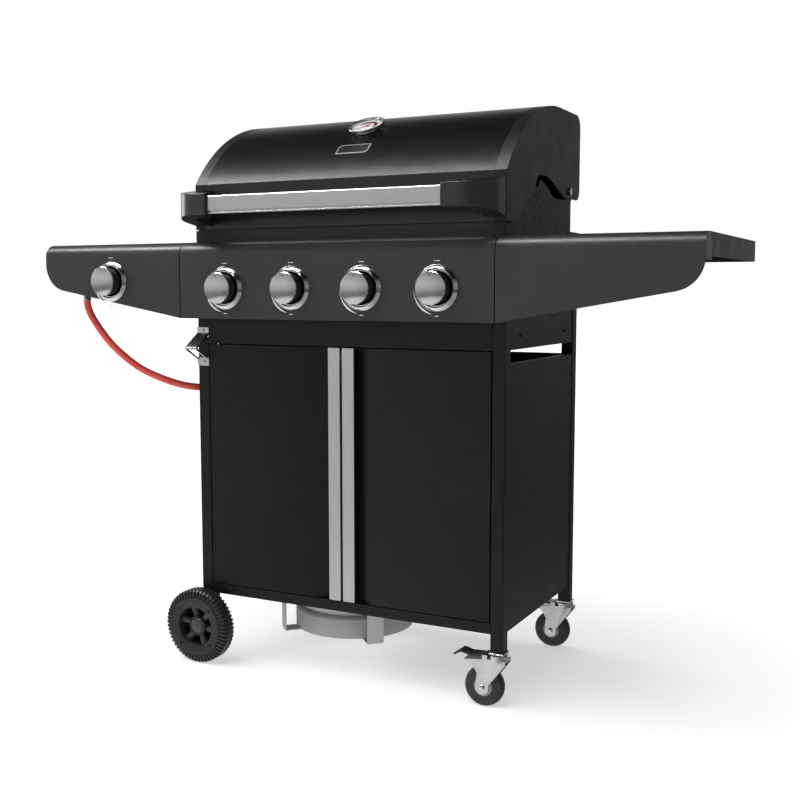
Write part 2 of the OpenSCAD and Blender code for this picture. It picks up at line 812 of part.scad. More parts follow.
// A wheel's bolt through its leg, with a spacer in front and a lock nut behind
module wheel_bolt() {
  rod_y(-wheel_reach + 10, leg + 8, wheel_x, wheel_r, bolt_r);
  rod_y(-wheel_gap + 0.5, -0.5, wheel_x, wheel_r, 9);
  rod_y(leg + 0.5, leg + 6, wheel_x, wheel_r, 9, $fn = 6);
}

module wheel_bolts() cart() color("#9a9c9e") {
  wheel_bolt();
  translate([0, cart_d, 0]) mirror([0, 1, 0]) wheel_bolt();
}

module at_casters(y) translate([caster_x, y, 0]) children();

module caster_plate() {
  box(-15, 15, -15, 15, leg_z - 3, leg_z);
  rod_z(87, leg_z - 3, 0, 0, 6);
  rod_z(84, 88, 0, 0, 10);
}

module caster_plates() cart() color("#c4c5c7") {
  at_casters(front_caster_y) caster_plate();
  at_casters(rear_caster_y) caster_plate();
}

module fork_cheek_outline() {
  polygon([[-26, 93], [18, 93], [18, 86], [-14, 44], [-40, 36], [-38, 60]]);
  translate([-trail, caster_r]) circle(r = 13);
}

module caster_fork() {
  difference() {
    union() {
      rod_z(91, 101.5, 0, 0, cup_r);
      box(-26, 18, -16, 16, 91, 94);
      for (y = [-16, 13.5]) along_y(y, y + 2.5) fork_cheek_outline();
      for (y = [-16, 13.5]) box(-27, -17, y, y + 2.5, 92, 101);
    }
    rod_z(80, 110, 0, 0, 6 + run);
    rod_z(80, 90.9, 0, 0, 11);
  }
  rod_y(-18, 18, -trail, caster_r, 4);
  rod_y(-16, 16, -22, pedal_z, 2);
}

module caster_fork_front() cart() color("#c4c5c7") at_casters(front_caster_y) caster_fork();

module caster_fork_rear() cart() color("#c4c5c7") at_casters(rear_caster_y) caster_fork();

module caster_wheel() difference() {
  translate([-trail, 12, caster_r]) rotate([90, 0, 0]) rotate_extrude($fn = 64)
    polygon([[0, 0], [16, 0], [17, 1.5], [33, 1.5], [36.5, 4], [caster_r, 9],
      [caster_r, 15], [36.5, 20], [33, 22.5], [17, 22.5], [16, 24], [0, 24]]);
  rod_y(-15, 15, -trail, caster_r, 4 + run);
}

module caster_wheel_front() cart() color("#3b3c3e") at_casters(front_caster_y) caster_wheel();

module caster_wheel_rear() cart() color("#3b3c3e") at_casters(rear_caster_y) caster_wheel();

module brake_pedal() difference() {
  union() {
    along_y(-12, 12) polygon([[-22, 95.5], [-24, 95.8], [-58, 95.5], [-72, 99], [-84, 92],
      [-88, 93], [-74, 103], [-68, 103], [-56, 99.5], [-30, 100.5], [-22, 102]]);
    rod_y(-12, 12, -22, pedal_z, 3.4);
  }
  rod_y(-13, 13, -22, pedal_z, 2 + run);
}

module brake_pedal_front() cart() color("#141415") at_casters(front_caster_y) brake_pedal();

module brake_pedal_rear() cart() color("#141415") at_casters(rear_caster_y) brake_pedal();

// ---- small parts ----
// Bottle opener: two screwed feet joined by a peaked hood
module bottle_opener() cart() color("#c0c1c2") translate([-hw - 2, 0, 0]) {
  box(0, 29, -2, 0, 677, 697);
  box(0, 29, -2, 0, 618, 636);
  along_x(0, 29) polygon([[0, 683], [-2, 685], [-44, 657], [-44, 653], [-41, 654], [-2, 681]]);
  for (x = [0, 26])
    along_x(x, x + 3) polygon([[-44, 657], [-44, 653], [-2, 630], [0, 632], [-40, 656]]);
  box(10, 19, -9, -7, 668, 679);
  box(10, 19, -9, -2, 677, 679);
}

module screw_head(x, y, z) {
  translate([x, y, z]) rotate([90, 0, 0]) cylinder(h = 2.2, r = 3.6);
}

module screws_and_pins() cart() color("#b4b5b7") {
  both_sides() {
    rod_x(plate_x - 4, hw + 0.4, hinge_y, hinge_z, hinge_r);
    rod_x(hw + 0.4, hw + 4.5, hinge_y, hinge_z, 8);
    rod_x(plate_x - 8, plate_x - 4, hinge_y, hinge_z, 7);
    rod_z(shelf_z - 12, shelf_z + 16, pin_x, pin_y, pin_r);
    rod_z(slot_z - 18, slot_z + 12, pin_x, pin_y, pin_r);
    for (y = [82, 331]) rod_x(hw - sheet, hw + 0.4, y, 690, 3.5);
    box(34, 60, door_t + 0.6, 34, slot_z - 12, slot_z);
  }
  for (z = [627, 690]) screw_head(wheel_x + 0.5, -2, z);
}

legs_left();
legs_right();
bottom_shelf();
side_panel_left();
side_panel_right();
back_panel();
top_rails();
bottle_cradle();
gas_bottle();
bottle_valve();
bottle_handwheel();
regulator();
gas_hose();
firebox();
burner_tubes();
flame_tamers();
cooking_grates();
warming_rack();
grease_tray();
gas_manifold();
control_panel();
fascia_left();
fascia_right();
table_left();
table_right();
side_burner();
pot_support();
knob_bezels();
bottle_opener();
wheel_bolts();
caster_plates();
screws_and_pins();
lid_shell();
lid_ends();
handle_brackets();
handle_bar();
thermometer();
thermometer_needle();
door_left();
door_left_handle();
door_right();
door_right_handle();
stem_1();
stem_2();
stem_3();
stem_4();
stem_side();
knob_1();
knob_2();
knob_3();
knob_4();
knob_side();
wheel_front();
wheel_rear();
caster_fork_front();
caster_fork_rear();
caster_wheel_front();
caster_wheel_rear();
brake_pedal_front();
brake_pedal_rear();
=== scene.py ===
import math

import bmesh
import bpy
from mathutils import Matrix, Vector


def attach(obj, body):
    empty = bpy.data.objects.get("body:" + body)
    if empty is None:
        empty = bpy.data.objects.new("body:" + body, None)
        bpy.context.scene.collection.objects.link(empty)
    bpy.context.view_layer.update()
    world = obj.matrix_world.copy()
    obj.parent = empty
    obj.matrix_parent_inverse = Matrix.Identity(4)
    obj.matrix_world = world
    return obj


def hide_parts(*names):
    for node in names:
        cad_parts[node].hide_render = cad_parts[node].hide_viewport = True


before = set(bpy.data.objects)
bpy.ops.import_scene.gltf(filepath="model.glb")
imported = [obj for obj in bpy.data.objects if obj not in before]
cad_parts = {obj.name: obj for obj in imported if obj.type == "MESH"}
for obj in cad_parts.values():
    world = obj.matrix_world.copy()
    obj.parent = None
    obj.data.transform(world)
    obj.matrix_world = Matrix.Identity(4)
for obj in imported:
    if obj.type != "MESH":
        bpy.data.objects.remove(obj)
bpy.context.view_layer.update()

# ---- the grill's own sizes, in metres, as in its CAD source ----
FRONT_Y = -0.183               # the legs' front face
LEG_X = 0.339                  # outer face of a leg
PANEL_Y = FRONT_Y - 0.057      # front face of the control panel and the fascias
PANEL_BASE_Z = 0.7165
PANEL_ROLL_R = 0.026           # the panel's rolled top edge
TABLE_Z = 0.868
KNOB_PITCH = 0.153
KNOB_Z = 0.777
SIDE_KNOB = (-0.518, 0.791)
KNOBS = {str(i + 1): ((i - 1.5) * KNOB_PITCH, KNOB_Z) for i in range(4)}
KNOBS["side"] = SIDE_KNOB
LID_TOP_Z = 1.131
LID_BEND_Z = 0.985             # where the lid's upright front turns into its arc
LID_R = 0.344
LID_Y = FRONT_Y - 0.001
LID_ARC_Z = LID_TOP_Z - LID_R
LID_ARC_Y = LID_Y + math.sqrt(LID_R ** 2 - (LID_BEND_Z - LID_ARC_Z) ** 2)
BADGE_Y = FRONT_Y + 0.052
GAUGE_Y = FRONT_Y + 0.112
GAUGE_TILT = math.asin((LID_ARC_Y - GAUGE_Y) / LID_R)
GAUGE_Z = LID_ARC_Z + LID_R * math.cos(GAUGE_TILT)
WHEEL_X = -0.3265
WHEEL_R = 0.077
WHEEL_W = 0.037
FRONT_WHEEL_Y = FRONT_Y - 0.047
REAR_WHEEL_Y = FRONT_Y + 0.456
CASTER_X = 0.3265
CASTER_R = 0.0385
CASTER_TRAIL = 0.027
CASTER_YS = {"front": FRONT_Y + 0.0125, "rear": FRONT_Y + 0.3965}

# ---- camera, solved on the photo's straight edges ----
CAMERA_PLACE = (1.0563, -2.0114, 0.7759)
CAMERA_PITCH = 84.19           # degrees up from straight down
CAMERA_AZIMUTH = 26.93         # degrees to the grill's right
LENS_MM = 49.27
SENSOR_MM = 36


def make_camera():
    data = bpy.data.cameras.new("camera")
    data.lens = LENS_MM
    data.sensor_width = SENSOR_MM
    obj = bpy.data.objects.new("camera", data)
    obj.location = CAMERA_PLACE
    obj.rotation_euler = (math.radians(CAMERA_PITCH), 0, math.radians(CAMERA_AZIMUTH))
    bpy.context.scene.collection.objects.link(obj)
    bpy.context.scene.camera = obj


make_camera()


# ---- small helpers ----
def link(obj):
    bpy.context.scene.collection.objects.link(obj)
    return obj


def mesh_object(name, bm, material, body, smooth_angle=35):
    """A finished piece from a bmesh: smooth, but sharp where the surface turns by more than smooth_angle."""
    bmesh.ops.recalc_face_normals(bm, faces=bm.faces)
    for face in bm.faces:
        face.smooth = True
    for edge in bm.edges:
        edge.smooth = len(edge.link_faces) == 2 and edge.calc_face_angle(0) < math.radians(smooth_angle)
    mesh = bpy.data.meshes.new(name)
    bm.to_mesh(mesh)
    bm.free()
    obj = link(bpy.data.objects.new(name, mesh))
    mesh.materials.append(material)
    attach(obj, body)
    return obj


def towards(axis):
    """Rotation that takes local Z to axis."""
    return Vector(axis).to_track_quat("Z", "Y").to_matrix().to_4x4()


def at(x, y, z, axis):
    """Placement at a point, with local Z along axis."""
    return Matrix.Translation((x, y, z)) @ towards(axis)


def rectangle(x0, x1, y0, y1):
    return [(x0, y0), (x1, y0), (x1, y1), (x0, y1)]


def arc(radius, start, end, steps, middle=(0, 0)):
    """Points on an arc from start to end, both in degrees."""
    angles = (math.radians(start + (end - start) * k / steps) for k in range(steps + 1))
    return [(middle[0] + radius * math.cos(a), middle[1] + radius * math.sin(a)) for a in angles]


def dome(radius, rise, base, steps):
    """Lathe profile of a half ellipse, from its crown down to its rim at height base."""
    angles = (math.pi / 2 * k / steps for k in range(steps + 1))
    return [(radius * math.sin(a), base + rise * math.cos(a)) for a in angles]


def lathe(bm, profile, place, segments):
    """Turns (radius, height) points about local Z. The profile is closed only where its ends meet."""
    rings = []
    for r, h in profile:
        if r < 1e-7:
            rings.append([bm.verts.new(place @ Vector((0, 0, h)))])
            continue
        rings.append([bm.verts.new(place @ Vector((r * math.cos(a), r * math.sin(a), h)))
                      for a in (2 * math.pi * k / segments for k in range(segments))])
    for low, high in zip(rings, rings[1:]):
        for k in range(segments):
            m = (k + 1) % segments
            quad = [low[k % len(low)], low[m % len(low)], high[m % len(high)], high[k % len(high)]]
            corners = list(dict.fromkeys(quad))
            if len(corners) > 2:
                bm.faces.new(corners)


def spun(name, profile, place, material, body, segments=96, smooth_angle=35):
    """A piece turned on a lathe."""
    bm = bmesh.new()
    lathe(bm, profile, place, segments)
    return mesh_object(name, bm, material, body, smooth_angle)


def prism(bm, outline, low, high, place):
    """Extrudes a closed outline of (x, y) points between two local heights."""
    base = [bm.verts.new(place @ Vector((x, y, low))) for x, y in outline]
    top = [bm.verts.new(place @ Vector((x, y, high))) for x, y in outline]
    bm.faces.new(base[::-1])
    bm.faces.new(top)
    for k in range(len(outline)):
        m = (k + 1) % len(outline)
        bm.faces.new([base[k], base[m], top[m], top[k]])


# ---- materials ----
class Shader:
    """A Principled material with object-space noise for colour, roughness and relief."""

    def __init__(self, name, color, metallic=0.0, roughness=0.4, specular=0.5):
        self.material = bpy.data.materials.new(name)
        self.material.use_nodes = True
        self.nodes = self.material.node_tree.nodes
        self.links = self.material.node_tree.links
        self.bsdf = self.nodes["Principled BSDF"]
        self.color = color
        self.roughness = roughness
        self.set("Base Color", (*color, 1))
        self.set("Metallic", metallic)
        self.set("Roughness", roughness)
        self.set("Specular IOR Level", specular)

    def set(self, socket, value):
        self.bsdf.inputs[socket].default_value = value

    def noise(self, scale, detail=3.0, stretch=(1, 1, 1)):
        coordinates = self.nodes.new("ShaderNodeTexCoord")
        mapping = self.nodes.new("ShaderNodeMapping")
        mapping.inputs["Scale"].default_value = stretch
        noise = self.nodes.new("ShaderNodeTexNoise")
        noise.inputs["Scale"].default_value = scale
        noise.inputs["Detail"].default_value = detail
        noise.inputs["Roughness"].default_value = 0.55
        self.links.new(coordinates.outputs["Object"], mapping.inputs["Vector"])
        self.links.new(mapping.outputs["Vector"], noise.inputs["Vector"])
        return noise.outputs["Fac"]

    def vary_color(self, source, spread):
        """Base colour from darker to lighter by spread, following source."""
        ramp = self.nodes.new("ShaderNodeValToRGB")
        for element, factor, place in zip(ramp.color_ramp.elements, (1 - spread, 1 + spread), (0.3, 0.7)):
            element.position = place
            element.color = (*(min(1, c * factor) for c in self.color), 1)
        self.links.new(source, ramp.inputs["Fac"])
        self.links.new(ramp.outputs["Color"], self.bsdf.inputs["Base Color"])

    def vary_roughness(self, source, spread):
        """Roughness from lower to higher by spread, following source."""
        span = self.nodes.new("ShaderNodeMapRange")
        span.inputs["From Min"].default_value = 0.3
        span.inputs["From Max"].default_value = 0.7
        span.inputs["To Min"].default_value = max(0.02, self.roughness - spread)
        span.inputs["To Max"].default_value = min(1, self.roughness + spread)
        self.links.new(source, span.inputs["Value"])
        self.links.new(span.outputs["Result"], self.bsdf.inputs["Roughness"])

    def relief(self, source, depth):
        bump = self.nodes.new("ShaderNodeBump")
        bump.inputs["Distance"].default_value = depth
        bump.inputs["Strength"].default_value = 1.0
        self.links.new(source, bump.inputs["Height"])
        self.links.new(bump.outputs["Normal"], self.bsdf.inputs["Normal"])


def coated(name, color, roughness, spread=0.12, orange_peel=0.00002, grain=900, specular=0.5, vary=0.05):
    """Powder coat or paint: fine orange peel over a faint cloudiness."""
    shader = Shader(name, color, roughness=roughness, specular=specular)
    shader.vary_color(shader.noise(14, detail=6), spread)
    shader.vary_roughness(shader.noise(28, detail=5), vary)
    if orange_peel:
        shader.relief(shader.noise(grain, detail=2), orange_peel)
    return shader.material


def brushed(name, color, roughness, along, spread):
    """Metal brushed along one axis: 'X' or 'Z'."""
    shader = Shader(name, color, metallic=1.0, roughness=roughness)
    lines = shader.noise(1400, detail=4, stretch={"X": (0.01, 1, 1), "Z": (1, 1, 0.01)}[along])
    shader.vary_color(lines, spread)
    shader.vary_roughness(lines, 0.08)
    shader.relief(lines, 0.000015)
    return shader.material


def polished(name, color, roughness, smudge=0.03):
    """Smooth metal, a little duller where it was touched."""
    shader = Shader(name, color, metallic=1.0, roughness=roughness)
    shader.vary_color(shader.noise(60), 0.04)
    shader.vary_roughness(shader.noise(45, detail=5), smudge)
    return shader.material


def moulded(name, color, roughness, grain=700, depth=0.00003):
    """Plastic or rubber with a fine moulded grain."""
    shader = Shader(name, color, roughness=roughness)
    shader.vary_color(shader.noise(22, detail=4), 0.15)
    shader.vary_roughness(shader.noise(90), 0.04)
    if depth:
        shader.relief(shader.noise(grain, detail=2), depth)
    return shader.material


POWDER = coated("powder_coat", (0.006, 0.006, 0.0063), 0.40, specular=0.30)
FACE = coated("panel_coat", (0.030, 0.030, 0.0305), 0.38, specular=0.42, orange_peel=0.000008, spread=0.06)
LID_COAT = coated("lid_enamel", (0.006, 0.006, 0.0063), 0.25, spread=0.03, orange_peel=0, vary=0.015)
LID_END_COAT = coated("lid_end_coat", (0.010, 0.010, 0.0103), 0.40, spread=0.08, specular=0.35)
FIREBOX_COAT = coated("firebox_coat", (0.012, 0.012, 0.0125), 0.46, specular=0.35)
GREY_PAINT = coated("cradle_paint", (0.54, 0.545, 0.55), 0.42, spread=0.05)
BOTTLE_PAINT = coated("bottle_paint", (0.44, 0.445, 0.45), 0.44, spread=0.06)
BRACKET_PLASTIC = moulded("bracket_plastic", (0.018, 0.018, 0.0185), 0.24, depth=0)
WHEEL_PLASTIC = moulded("wheel_plastic", (0.018, 0.018, 0.0185), 0.40, depth=0.00001)
HUB_PLASTIC = moulded("hub_plastic", (0.014, 0.014, 0.0145), 0.34, depth=0.00001)
SPOKE_PLASTIC = moulded("spoke_plastic", (0.055, 0.055, 0.056), 0.36, depth=0.00001)
CAP_PLASTIC = moulded("cap_plastic", (0.060, 0.060, 0.061), 0.30, depth=0.00001)
TREAD_RUBBER = moulded("tread_rubber", (0.030, 0.030, 0.031), 0.62)
CASTER_HUB = moulded("caster_hub", (0.30, 0.30, 0.305), 0.35)
PEDAL_COAT = moulded("pedal_coat", (0.010, 0.010, 0.0105), 0.25)
HOSE_RUBBER = moulded("hose_rubber", (0.72, 0.085, 0.065), 0.28, grain=350, depth=0.00002)
STRIP_METAL = brushed("strip_aluminium", (0.74, 0.74, 0.745), 0.34, "Z", spread=0.05)
BAR_METAL = brushed("bar_steel", (0.55, 0.55, 0.555), 0.28, "X", spread=0.06)
PLAIN_STEEL = brushed("plain_steel", (0.42, 0.42, 0.41), 0.40, "X", spread=0.15)
PLATED = polished("plated_steel", (0.74, 0.745, 0.75), 0.24, smudge=0.05)
RING_CHROME = polished("ring_chrome", (0.80, 0.805, 0.81), 0.13, smudge=0.02)
CHROME = polished("chrome", (0.80, 0.805, 0.81), 0.07)
SATIN = polished("satin_cap", (0.58, 0.585, 0.59), 0.15, smudge=0.02)
BRASS = polished("brass", (0.62, 0.46, 0.20), 0.26, smudge=0.06)
ALLOY = coated("cast_alloy", (0.42, 0.425, 0.43), 0.38, spread=0.10, orange_peel=0.00006, grain=300)
IRON = coated("grate_enamel", (0.016, 0.016, 0.016), 0.52, spread=0.25, orange_peel=0.00008, grain=350)
KNOB_BLACK = coated("knob_black", (0.006, 0.006, 0.006), 0.35)
DIAL_WHITE = coated("dial_white", (0.85, 0.85, 0.84), 0.5, spread=0.03)
HOT_ZONE = coated("dial_hot_zone", (0.16, 0.02, 0.016), 0.5, spread=0.05)
# Matte near-black used as painted shade: it stands in for the shadow in gaps, holes and behind the knobs
PAINTED_SHADE_BLACK = coated("painted_shade_black", (0.001, 0.001, 0.001), 0.8, specular=0.05)
MARK_WHITE = coated("mark_white", (0.80, 0.80, 0.80), 0.5, spread=0.05)
MARK_BLACK = coated("mark_black", (0.02, 0.02, 0.02), 0.5, spread=0.05)
NEEDLE_RED = coated("needle_red", (0.50, 0.03, 0.02), 0.3, spread=0.05)


def make_glass():
    shader = Shader("gauge_glass", (0.95, 0.97, 0.97), roughness=0.03)
    shader.set("Transmission Weight", 1.0)
    shader.set("IOR", 1.45)
    shader.vary_roughness(shader.noise(120), 0.01)
    return shader.material


GLASS = make_glass()

# ---- CAD nodes that keep their shape: material, width of their rounded edges, names ----
NODE_FINISH = [
    (POWDER, 0.0013, ["legs_left", "legs_right"]),
    (POWDER, 0.0006, ["bottom_shelf", "side_panel_left", "side_panel_right", "back_panel", "top_rails",
                      "table_left", "table_right"]),
    (POWDER, 0.0005, ["door_left", "door_right"]),
    (GREY_PAINT, 0.0008, ["bottle_cradle"]),
    (BOTTLE_PAINT, 0.0008, ["gas_bottle"]),
    (HUB_PLASTIC, 0.0012, ["bottle_handwheel"]),
    (ALLOY, 0.0015, ["regulator"]),
    (BRASS, 0.0006, ["bottle_valve"]),
    (BRASS, 0.0004, ["stem_" + key for key in KNOBS]),
    (FIREBOX_COAT, 0.0005, ["firebox", "side_burner"]),
    (PLAIN_STEEL, 0.0004, ["flame_tamers"]),
    (PLAIN_STEEL, 0.0005, ["burner_tubes", "grease_tray"]),
    (PLAIN_STEEL, 0.0006, ["wheel_bolts"]),
    (PLAIN_STEEL, 0.0008, ["gas_manifold"]),
    (IRON, 0.0008, ["pot_support"]),
    (IRON, 0.0010, ["cooking_grates"]),
    (CHROME, 0, ["warming_rack"]),
    (FACE, 0.0005, ["control_panel", "fascia_left", "fascia_right"]),
    (PLATED, 0.0005, ["bottle_opener", "caster_fork_front", "caster_fork_rear"]),
    (PLATED, 0.0006, ["caster_plates", "screws_and_pins"]),
    (PEDAL_COAT, 0.0006, ["brake_pedal_front", "brake_pedal_rear"]),
    (LID_COAT, 0.0005, ["lid_shell"]),
    (LID_END_COAT, 0.0005, ["lid_ends"]),
    (BRACKET_PLASTIC, 0.0045, ["handle_brackets"]),
    (BAR_METAL, 0.0006, ["handle_bar"]),
    (STRIP_METAL, 0.0005, ["door_left_handle", "door_right_handle"]),
    (NEEDLE_RED, 0.0001, ["thermometer_needle"]),
]
SHARP_ANGLE = 35               # degrees: an edge that turns by more is rounded
WIDE_EDGE = 0.003              # a wider rounding takes more segments


def finish_node(name, material, width):
    """Gives a CAD node its material, and rounds its sharp edges with modifiers."""
    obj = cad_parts[name]
    obj.data.materials.clear()
    obj.data.materials.append(material)
    with bpy.context.temp_override(object=obj, active_object=obj, selected_objects=[obj]):
        if obj.data.has_custom_normals:
            bpy.ops.mesh.customdata_custom_splitnormals_clear()
    for polygon in obj.data.polygons:
        polygon.use_smooth = True
    weld = obj.modifiers.new("weld", "WELD")
    weld.merge_threshold = 0.00001
    if width:
        flat = obj.modifiers.new("flat", "DECIMATE")
        flat.decimate_type = "DISSOLVE"
        flat.angle_limit = math.radians(0.5)
        bevel = obj.modifiers.new("edges", "BEVEL")
        bevel.width = width
        bevel.segments = 4 if width > WIDE_EDGE else 2
        bevel.limit_method = "ANGLE"
        bevel.angle_limit = math.radians(SHARP_ANGLE)
        bevel.harden_normals = True


for finish, edge_width, nodes in NODE_FINISH:
    for node in nodes:
        finish_node(node, finish, edge_width)

BLACK_BELOW_Z = 0.70
OPENER_SCREWS_X = LEG_X * -0.93


def paint_pins():
    """The small fasteners below the tables are black, except the bottle opener's on the left."""
    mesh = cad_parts["screws_and_pins"].data
    mesh.materials.append(POWDER)
    for polygon in mesh.polygons:
        if polygon.center.z < BLACK_BELOW_Z and polygon.center.x > OPENER_SCREWS_X:
            polygon.material_index = 1


paint_pins()


# ---- gas hose: the same route as in the CAD source ----
HOSE_ROUTE = [
    (-0.627, -0.195, 0.768), (-0.627, -0.195, 0.752), (-0.623, -0.195, 0.733), (-0.614, -0.194, 0.715),
    (-0.601, -0.193, 0.697), (-0.587, -0.192, 0.680), (-0.571, -0.191, 0.663), (-0.553, -0.188, 0.646),
    (-0.534, -0.185, 0.631), (-0.514, -0.182, 0.617), (-0.493, -0.177, 0.604), (-0.472, -0.171, 0.594),
    (-0.451, -0.163, 0.585), (-0.431, -0.153, 0.577), (-0.412, -0.142, 0.571), (-0.395, -0.128, 0.567),
    (-0.381, -0.111, 0.565), (-0.370, -0.092, 0.565), (-0.362, -0.072, 0.568), (-0.357, -0.052, 0.574),
    (-0.354, -0.034, 0.583), (-0.354, -0.018, 0.595), (-0.354, -0.003, 0.608), (-0.354, 0.013, 0.621),
    (-0.354, 0.030, 0.633), (-0.353, 0.048, 0.642), (-0.350, 0.067, 0.648), (-0.344, 0.085, 0.651),
    (-0.334, 0.102, 0.652), (-0.319, 0.116, 0.650), (-0.302, 0.126, 0.644), (-0.285, 0.131, 0.633),
    (-0.269, 0.132, 0.620), (-0.253, 0.132, 0.606), (-0.238, 0.131, 0.593), (-0.222, 0.127, 0.582),
    (-0.206, 0.119, 0.576), (-0.194, 0.111, 0.575),
]
HOSE_DIAMETER = 0.015


def make_hose():
    data = bpy.data.curves.new("gas_hose_tube", "CURVE")
    data.dimensions = "3D"
    spline = data.splines.new("BEZIER")
    spline.bezier_points.add(len(HOSE_ROUTE) - 1)
    for point, place in zip(spline.bezier_points, HOSE_ROUTE):
        point.co = place
        point.handle_left_type = point.handle_right_type = "AUTO"
    data.bevel_depth = HOSE_DIAMETER / 2
    data.bevel_resolution = 8
    data.resolution_u = 6
    data.use_fill_caps = True
    obj = link(bpy.data.objects.new("gas_hose_tube", data))
    data.materials.append(HOSE_RUBBER)
    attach(obj, "cart")
    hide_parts("gas_hose")


make_hose()

# ---- knobs: a domed satin cap on a black waist, inside a stepped chrome ring on the panel ----
DOME_R = 0.1045                # the dome is part of a sphere
DOME_TOP = 0.0325
DOME_RIM = 0.0287
DOME_STEPS = 12
DOT_Y = 0.0225                 # how far above the knob's middle its dot lies
DOT_R = 0.0013
MARK_LOW, MARK_HIGH = -0.0001, 0.00012     # printed marks, as heights over the panel


def dome_height(r):
    return DOME_TOP - DOME_R + math.sqrt(DOME_R ** 2 - r ** 2)


def make_knob(key, x, z):
    place = at(x, PANEL_Y, z, (0, -1, 0))
    body = "knob_" + key
    waist = [(0, 0.0052), (0.0270, 0.0052), (0.0282, 0.0072), (0.0276, 0.0092), (0.0256, 0.0125),
             (0.0249, 0.0180), (0.0262, 0.0215), (0.0272, 0.0232), (0, 0.0232)]
    spun("knob_waist_" + key, waist, place, KNOB_BLACK, body)
    side = [(0, 0.0231), (0.0280, 0.0231), (0.0294, 0.0238), (0.0300, 0.0250), (0.0300, 0.0268),
            (0.0298, 0.0276)]
    radii = [DOME_RIM * k / DOME_STEPS for k in range(DOME_STEPS, -1, -1)]
    cap = side + [(r, dome_height(r)) for r in radii]
    knob = spun("knob_cap_" + key, cap, place, SATIN, body, smooth_angle=20)
    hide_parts("knob_" + key)
    dot = rectangle(0, DOT_R, dome_height(DOT_Y) - 0.0006, dome_height(DOT_Y) + 0.0003)
    spun("knob_dot_" + key, dot, place @ Matrix.Translation((0, DOT_Y, 0)), MARK_BLACK, body,
         segments=20)
    # A flat black disc of painted shade inside the ring, standing in for the shadow behind the knob
    shade_disc = rectangle(0.0050, 0.0309, 0.0002, 0.0008)
    spun("knob_shade_disc_" + key, shade_disc, place, PAINTED_SHADE_BLACK, "cart")
    ring = [(0.0310, 0), (0.0420, 0), (0.0420, 0.0022), (0.0411, 0.0034), (0.0372, 0.0072), (0.0362, 0.0079),
            (0.0352, 0.0079), (0.0345, 0.0072), (0.0341, 0.0048), (0.0332, 0.0036), (0.0318, 0.0036),
            (0.0310, 0.0030), (0.0310, 0)]
    bezel = spun("knob_ring_" + key, ring, place, RING_CHROME, "cart", smooth_angle=28)
    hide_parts("knob_bezels")
    make_knob_marks(key, place)


def widening_arc():
    """Outline of a printed arc, thin at its ends and fattest past its middle."""
    start, end = 186, 258      # degrees
    steps = 24
    inner, outer = [], []
    for k in range(steps + 1):
        angle = math.radians(start + (end - start) * k / steps)
        width = 0.0003 + 0.0027 * math.sin(math.pi * (k / steps) ** 1.6)
        middle = 0.0462 + 0.0014 * k / steps
        for points, r in ((inner, middle - width / 2), (outer, middle + width / 2)):
            points.append((r * math.cos(angle), r * math.sin(angle)))
    return inner + outer[::-1]


def make_knob_marks(key, place):
    """Printed marks: a dot and a bar above, a bar below, and a widening arc at the lower left."""
    dot = arc(0.0011, 0, 360, 16, middle=(-0.0045, 0.0482))[:-1]
    bar_above = rectangle(-0.0020, 0.0060, 0.0475, 0.0489)
    bar_below = rectangle(-0.0039, 0.0039, -0.0507, -0.0493)
    bm = bmesh.new()
    for outline in (widening_arc(), dot, bar_above, bar_below):
        prism(bm, outline, MARK_LOW, MARK_HIGH, place)
    mesh_object("knob_marks_" + key, bm, MARK_WHITE, "cart")


for key, (x, z) in KNOBS.items():
    make_knob(key, x, z)


# ---- blank badge on the lid ----
def on_lid(x, turn, lift):
    """Point over the lid's curved front, turn radians forward from its crown."""
    r = LID_R + lift
    return Vector((x, LID_ARC_Y - r * math.sin(turn), LID_ARC_Z + r * math.cos(turn)))


def lid_patch(bm, outline, low, high):
    """A plate that follows the lid's curve, between two heights over the lid.

    The outline is a convex polygon of (x, distance up the slope), both from the badge's middle.
    It's cut into level rows, so that the plate can bend between them.
    """
    row_count = 8
    slack = 1e-9
    middle = math.asin((LID_ARC_Y - BADGE_Y) / LID_R)
    heights = sorted({v for _, v in outline})
    bottom, top = heights[0], heights[-1]

    def span(v):
        """The outline's left and right ends at height v."""
        cuts = []
        for (xa, va), (xb, vb) in zip(outline, outline[1:] + outline[:1]):
            if va != vb and min(va, vb) - slack <= v <= max(va, vb) + slack:
                cuts.append(xa + (xb - xa) * (v - va) / (vb - va))
        return min(cuts), max(cuts)

    levels = sorted(set(heights) | {bottom + (top - bottom) * k / row_count for k in range(row_count + 1)})
    loops = []
    for v in levels:
        left, right = span(v)
        corners = ((left, low), (right, low), (right, high), (left, high))
        loops.append([bm.verts.new(on_lid(x, middle - v / LID_R, lift)) for x, lift in corners])
    for a, b in zip(loops, loops[1:]):
        for k in range(4):
            m = (k + 1) % 4
            bm.faces.new([a[k], a[m], b[m], b[k]])
    bm.faces.new(loops[0][::-1])
    bm.faces.new(loops[-1])


def badge_outline(w, h, cut):
    """Half-width, half-height, and the size of the cut at the lower right and upper left corners."""
    return [(-w, -h), (w - cut, -h), (w, cut - h), (w, h), (cut - w, h), (-w, h - cut)]


def make_badge():
    border = bmesh.new()
    lid_patch(border, badge_outline(0.0345, 0.0135, 0.006), 0.0001, 0.0011)
    mesh_object("badge_border", border, MARK_WHITE, "lid")
    field = bmesh.new()
    lid_patch(field, badge_outline(0.0332, 0.0122, 0.0056), 0.0005, 0.00125)
    mesh_object("badge_field", field, KNOB_BLACK, "lid")


make_badge()

# ---- thermometer: chrome dish, printed dial and glass ----
TICK_COUNT = 28
DIAL_START, DIAL_SWEEP = 225, 270          # degrees
TICK_OUTER_R = 0.0305
PRINT_LOW, PRINT_HIGH = 0.0087, 0.0089     # the dial's print, as heights in the dish


